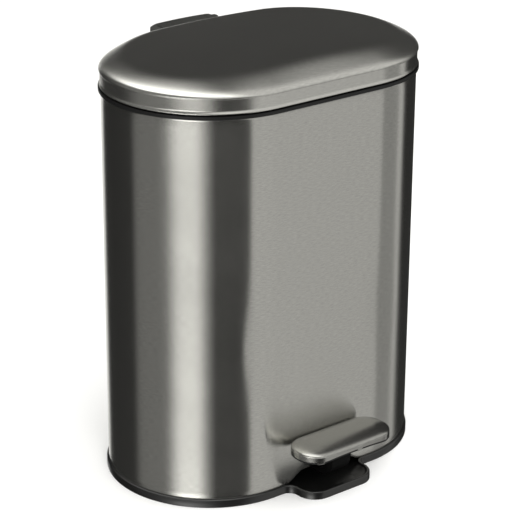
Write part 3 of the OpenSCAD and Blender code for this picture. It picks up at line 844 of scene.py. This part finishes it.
def build_base():
    """The black base: a dish with a toe scoop, recesses for the pads and holes for the screws."""
    points = base_outline()
    ways = outline_normals(points)
    section = base_section()

    def place(i, j):
        d, z = section[j]
        if d > LIP_W and points[i].y < -RIM_R:
            d = LIP_W + (d - LIP_W) * (FRONT_COVE + (1 - FRONT_COVE) * abs(ways[i].x))
        p = points[i] - ways[i] * d
        return Vector((p.x, p.y, z))

    base = grid("base_dish", len(points), len(section), place)
    fill_levels(base, 0.0, FLOOR_T)
    screw_x, screw_y = SCREWS_HIGH.x - SCREW_HEAD_R, SCREWS_HIGH.y - SCREW_HEAD_R
    cutters = corner_holes(PAD_X, PAD_Y, PAD_HOLE_R, PAD_HOLE_TOP)
    cutters += corner_holes(screw_x, screw_y, COUNTERBORE_R, COUNTERBORE_TOP)
    cutters += corner_holes(screw_x, screw_y, SCREW_HOLE_R, SCREW_HOLE_TOP)
    combine(base, "DIFFERENCE", *cutters)
    shade_soft(base)
    return fit_out(base, "can", DISH_BLACK, "black_plastic", "base_tray")


def axle_hole(start, end):
    """A cutter for the axle's hole, from one x to another."""
    return cylinder("cut", AXLE_HOLE_R, (start, AXLE.y, AXLE.z), (end, AXLE.y, AXLE.z))


def build_axle_posts():
    """The two posts that carry the pedal's axle."""
    around = [(AXLE.y + POST_R * math.cos(math.radians(t)), AXLE.z + POST_R * math.sin(math.radians(t)))
              for t in range(0, 181, 10)]
    foot = FLOOR_T - 0.4 * MM
    profile = around + [(AXLE.y - POST_R, foot), (AXLE.y + POST_R, foot)]
    for name, x in POSTS:
        post = extruded(name, profile, x, x + POST_W)
        combine(post, "DIFFERENCE", axle_hole(x - MM, x + POST_W + MM))
        rounded_edges(post, 0.3 * MM)
        fit_out(post, "can", BLACK, "black_plastic")


# ---- pedal ----

CAP_CORNER = 15 * MM
CAP_SKIRT = 3.5 * MM
CAP_BOW = 1.5 * MM
CAP_ARCH = 1.5 * MM
CAP_ARCH_HALF = 28 * MM
TAB_DROP = 1.5 * MM
# Middle and half width of each tab
TABS = ((-30 * MM, 2.3 * MM), (3 * MM, 2.3 * MM), (34 * MM, 1.8 * MM))
CAP_SHEET = 0.8 * MM
NECK_HALF = 8 * MM
CAP_DOME_W = 13 * MM
CAP_DOME_H = 4.3 * MM
CAP_CROWN_X = 0.9 * MM
CAP_CROWN_Y = 0.7 * MM
CAP_LIP = 0.16 * MM
CAP_HALF = CAP_HIGH.x
CAP_MID = (CAP_LOW.y + CAP_HIGH.y) / 2
CAP_DEPTH = (CAP_HIGH.y - CAP_LOW.y) / 2


def pill(step=1.2 * MM, turn=4.0, inset_by=0.0):
    """Samples round the pedal's outline, anticlockwise seen from above."""
    half, depth, corner = CAP_HALF - inset_by, CAP_DEPTH - inset_by, CAP_CORNER - inset_by
    flat = half - corner
    short = depth - corner
    corners = [((-flat, short), 90), ((-flat, -short), 180), ((flat, -short), 270), ((flat, short), 0)]
    points = [Vector((x, depth)) for x in spaced(0, -flat, step)]
    for k, (centre, start) in enumerate(corners):
        points += arc(centre, corner, start, start + 90, turn)
        if k == 1:
            points += [Vector((x, -depth)) for x in spaced(-flat, flat, step)]
        elif k != 3:
            y = centre[1]
            points += [Vector((math.copysign(half, centre[0]), v)) for v in spaced(y, -y, step)]
    points += [Vector((x, depth)) for x in spaced(flat, 0, step)]
    cores = [Vector((max(depth - half, min(half - depth, p.x)), CAP_MID)) for p in points]
    bowed = [Vector((p.x, CAP_MID + p.y + CAP_BOW * (p.x / half) ** 2 * max(0, -p.y / depth)))
             for p in points]
    return add_runs(bowed, cores)


def cap_rise(point):
    """How far the cap's lower edge stands up in its middle."""
    return CAP_ARCH * max(0.0, 1 - (point.x / CAP_ARCH_HALF) ** 2)


def tab_drop(point):
    """How far the tabs of the front edge hang below it."""
    if point.y > CAP_MID:
        return 0.0
    return TAB_DROP if any(abs(point.x - x) < half for x, half in TABS) else 0.0


def cap_height(point, depth):
    """Height of the pedal's skin, a distance in from its edge."""
    share = min(1.0, max(0.0, depth / CAP_DOME_W))
    rise = CAP_DOME_H * math.sqrt(max(0.0, 1 - (1 - share) ** 2))
    crown = CAP_CROWN_X * (1 - (point.x / CAP_HALF) ** 2)
    crown += CAP_CROWN_Y * (1 - ((point.y - CAP_MID) / CAP_DEPTH) ** 2)
    return CAP_LOW.z + CAP_SKIRT + rise + share * share * (3 - 2 * share) * crown


def build_cap():
    """The pedal's pressed steel cap: an upright skirt, a rolled shoulder and a crowned top."""
    samples = pill()
    count = len(samples)
    low = CAP_LOW.z
    crease = low + CAP_SKIRT
    skirt = [(0.5, 0.0), (0.12, 0.0), (0.0, 0.12), (0.0, 0.9), (0.0, 1.8), (0.0, 2.7), (0.0, 3.2)]
    outer = [(d * MM, low + z * MM, 0.0) for d, z in skirt]
    outer += [(0.03 * MM, crease - 0.12 * MM, 0.0), (CAP_LIP, crease, 0.0)]
    steps = 16
    turns = [math.radians(90 * k / steps) for k in range(1, steps + 1)]
    dome = [CAP_LIP + (CAP_DOME_W - CAP_LIP) * (1 - math.cos(t)) for t in turns]
    dome += [CAP_DOME_W + (CAP_DEPTH - CAP_DOME_W) * k / 4 for k in range(1, 5)]
    outer += [(d, None, 0.0) for d in dome]
    rows = [(d, None, CAP_SHEET) for d in reversed(dome[6::3] + [dome[-1]])]
    rows += [(CAP_SHEET, crease - 0.4 * MM, 0.0), (CAP_SHEET, low, 0.0)] + outer

    def place(i, j):
        sample = samples[i % count]
        depth, z, sheet = rows[j % len(rows)]
        flat = sample.core if depth > CAP_DEPTH - 0.01 * MM else Vector(inset(sample, depth))
        if z is None:
            z = cap_height(flat, depth) - sheet
        else:
            share = (crease - z) / CAP_SKIRT
            z += max(0.0, share) * (cap_rise(sample.point) - tab_drop(sample.point))
        return Vector((*flat, z))

    def uv(i, j):
        depth = rows[j % len(rows)][0]
        return unrolled(samples[i % count], depth, place(i, j).z, crease)

    cap = grid("pedal_steel_cap", count, len(rows), place, uv)
    # The cap's steel has painted shade: a darker copy of the body's steel.
    fit_out(cap, "pedal", PEDAL_STEEL_PAINTED_SHADE, "brushed_body", "pedal_cap")


def smooth_path(points, steps):
    """Points along a smooth curve through the given ones."""
    out = []
    for i in range(len(points) - 1):
        p0, p1, p2, p3 = (Vector(points[max(0, min(len(points) - 1, i + k))]) for k in (-1, 0, 1, 2))
        for k in range(steps):
            t = k / steps
            out.append(0.5 * (2 * p1 + (p2 - p0) * t + (2 * p0 - 5 * p1 + 4 * p2 - p3) * t * t
                              + (3 * p1 - p0 - 3 * p2 + p3) * t ** 3))
    return out + [Vector(points[-1])]


# Width of the pad's rim inside the cap, and how far it reaches up there
PAD_RIM = 3 * MM
PAD_TOP = 2.6 * MM
# Plate between the pad and the neck: its faces above the cap's lower edge, and how far it stops short
PLATE_LOW = 0.8 * MM
PLATE_HIGH = 2.5 * MM
PLATE_END = 7 * MM
NECK_BACK = 15 * MM
HUB_HALF = 18 * MM
TAIL_LOW = 8.8 * MM
TAIL_HIGH = 13.45 * MM
TAIL_END = -12 * MM
TAIL_HALF = 5.2 * MM


def build_pad():
    """The plastic pad in the cap, whose edge shows as a black line under the steel."""
    samples = pill(turn=6.0, step=2 * MM)
    inner = CAP_SHEET + PAD_RIM
    tight = CAP_SHEET - 0.1 * MM
    section = [(inner, PAD_TOP), (tight, PAD_TOP), (tight, 0.0), (0.1 * MM, -0.03 * MM),
               (0.0, -0.2 * MM), (0.05 * MM, -0.9 * MM), (0.3 * MM, -1.2 * MM), (inner, -1.2 * MM)]

    def place(i, j):
        depth, z = section[j]
        return Vector((*inset(samples[i], depth), CAP_LOW.z + z + cap_rise(samples[i].point)))

    return grid("pedal_pad", len(samples), len(section), place, close_rows=True)


def neck_profile():
    """Side view of the swan neck as (y, z), from the pad down its front, under the axle and back up."""
    top = CAP_LOW.z + MM
    front = CAP_LOW.y + NECK_BACK
    outer = [(0, top), (0.2 * MM, 26 * MM), (1.0 * MM, 19 * MM), (4.4 * MM, 13.3 * MM), (10 * MM, 9.8 * MM),
             (16 * MM, 9 * MM)]
    inner = [(19 * MM, 12.2 * MM), (14.5 * MM, 13.2 * MM), (10 * MM, 16.5 * MM), (7.4 * MM, 22 * MM),
             (7.2 * MM, 28 * MM), (9 * MM, top)]
    down, up = ([tuple(p) for p in smooth_path([(front + y, z) for y, z in side], 5)]
                for side in (outer, inner))
    return down + [(AXLE.y, 9 * MM), (AXLE.y, 12.2 * MM)] + up


def block(name, low, high, half):
    """A block between two (y, z) corners, half wide each way from the middle."""
    corners = [(low[0], high[1]), low, (high[0], low[1]), high]
    return extruded(name, corners, -half, half)


def build_neck():
    """The swan neck under the pad, with its plate, the hub on the axle and the tail."""
    low = CAP_LOW.z
    edge = CAP_SHEET + PAD_RIM - 0.5 * MM
    plate = block("plate", (CAP_LOW.y + edge, low + PLATE_LOW), (CAP_HIGH.y - edge, low + PLATE_HIGH),
                  CAP_HALF - PLATE_END)
    neck = extruded("neck", neck_profile(), -NECK_HALF, NECK_HALF)
    hub = cylinder("hub", POST_R, (-HUB_HALF, AXLE.y, AXLE.z), (HUB_HALF, AXLE.y, AXLE.z))
    tail = block("tail", (AXLE.y, TAIL_LOW), (TAIL_END, TAIL_HIGH), TAIL_HALF)
    combine(neck, "UNION", plate, hub, tail)
    combine(neck, "DIFFERENCE", axle_hole(-HUB_HALF - 2 * MM, HUB_HALF + 2 * MM))
    rounded_edges(neck, 0.5 * MM)
    neck.name = "pedal_neck"
    return neck


def build_core():
    """The pedal's black core: pad and neck."""
    pad = build_pad()
    # The neck's darker black is painted shade under the pedal.
    fit_out(build_neck(), "pedal", NECK_BLACK_PAINTED_SHADE, "black_plastic", "pedal_core")
    fit_out(pad, "pedal", BLACK, "black_plastic")


# ---- hinge ----

HOUSING_END_R = 8 * MM
HOUSING_BOW = 0.8 * MM
HOUSING_SOFT = 9 * MM
KNUCKLE_R = 8.5 * MM
KNUCKLE_HALF = 4.45 * MM
PIN_HOLE_R = 2.05 * MM


def build_housing():
    """The moulded housing with its top bowed and turned down at both ends."""
    housing = merged_copy("hinge_housing")
    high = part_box("hinge_housing")[1]
    start = high.x - HOUSING_END_R
    cuts = [start + HOUSING_END_R * math.sin(math.radians(t)) for t in range(0, 90, 10)]
    cuts += spaced(0, start, 5 * MM)
    work = bmesh.new()
    work.from_mesh(housing.data)
    for x in cuts + [-x for x in cuts if x]:
        parts = work.verts[:] + work.edges[:] + work.faces[:]
        bmesh.ops.bisect_plane(work, geom=parts, plane_co=(x, 0, 0), plane_no=(1, 0, 0))
    for vert in work.verts:
        over = min(HOUSING_END_R, max(0.0, abs(vert.co.x) - start))
        drop = HOUSING_END_R - math.sqrt(HOUSING_END_R ** 2 - over ** 2)
        drop += HOUSING_BOW * (vert.co.x / high.x) ** 2
        share = max(0.0, 1 - (high.z - vert.co.z) / HOUSING_SOFT)
        vert.co.z -= drop * share ** 2
    work.to_mesh(housing.data)
    work.free()
    rounded_edges(housing, 0.8 * MM)
    fit_out(housing, "can", CHARCOAL, "charcoal_plastic", "hinge_housing")


def build_knuckles():
    """The ends of the lid's arms, which fill the slots of the housing."""
    for name, x in (("lid_knuckle_left", -KNUCKLE_X), ("lid_knuckle_right", KNUCKLE_X)):
        ends = [(x - KNUCKLE_HALF, HINGE.y, HINGE.z), (x + KNUCKLE_HALF, HINGE.y, HINGE.z)]
        knuckle = cylinder(name, KNUCKLE_R, *ends)
        past = 2 * KNUCKLE_HALF
        hole = cylinder("cut", PIN_HOLE_R, (x - past, HINGE.y, HINGE.z), (x + past, HINGE.y, HINGE.z))
        combine(knuckle, "DIFFERENCE", hole)
        rounded_edges(knuckle, 0.3 * MM)
        fit_out(knuckle, "lid", CHARCOAL, "black_plastic")


# ---- the rest of the pieces, from their CAD shapes ----

# CAD nodes shown as copies with rounded edges: (node, rounding in millimetres, material, slot, body)
SOFTENED = [
    ("top_ring", 0.35, BLACK, "black_plastic", "can"),
    ("rod_guides", 0.4, BLACK, "black_plastic", "can"),
    ("hinge_plate", 0.25, ZINC, "zinc_steel", "can"),
    ("foot_pads", 0.2, RUBBER, "soft_rubber", "can"),
    ("lid_buffers", 0.3, RUBBER, "soft_rubber", "can"),
    ("lid_liner", 0.5, BLACK, "black_plastic", "lid"),
    ("inner_bucket", 0.6, BUCKET, "bucket_plastic", "bucket"),
    ("handle_grip", 0.9, BUCKET, "bucket_plastic", "handle"),
    ("pedal_lever", 0.3, ZINC, "zinc_steel", "pedal"),
    ("lever_screws", 0.4, ZINC, "zinc_steel", "pedal"),
    ("hinge_screws", 0.4, ZINC, "zinc_steel", "can"),
    ("base_screws", 0.4, ZINC, "zinc_steel", "can"),
    ("axle_caps", 0.3, ZINC, "zinc_steel", "can"),
    ("pedal_axle", 0.3, ZINC, "zinc_steel", "can"),
    ("hinge_pin", 0.3, ZINC, "zinc_steel", "can"),
    ("rod_clips", 0.2, ZINC, "zinc_steel", "rod"),
]


def build_softened():
    """Moulded and pressed pieces whose CAD shape is right, with the rounded edges that the real ones have."""
    for node, width, material, slot, body in SOFTENED:
        fit_out(rounded_edges(merged_copy(node), width * MM), body, material, slot, node)


def finish_wires():
    """The round bars, which are shown as their own CAD nodes."""
    for node in ("push_rod", "bucket_handle"):
        piece = NODES[node]
        piece.data.materials.clear()
        piece.data.materials.append(ZINC)


build_body()
build_lid()
build_base()
build_axle_posts()
build_cap()
build_core()
build_housing()
build_knuckles()
build_softened()
finish_wires()
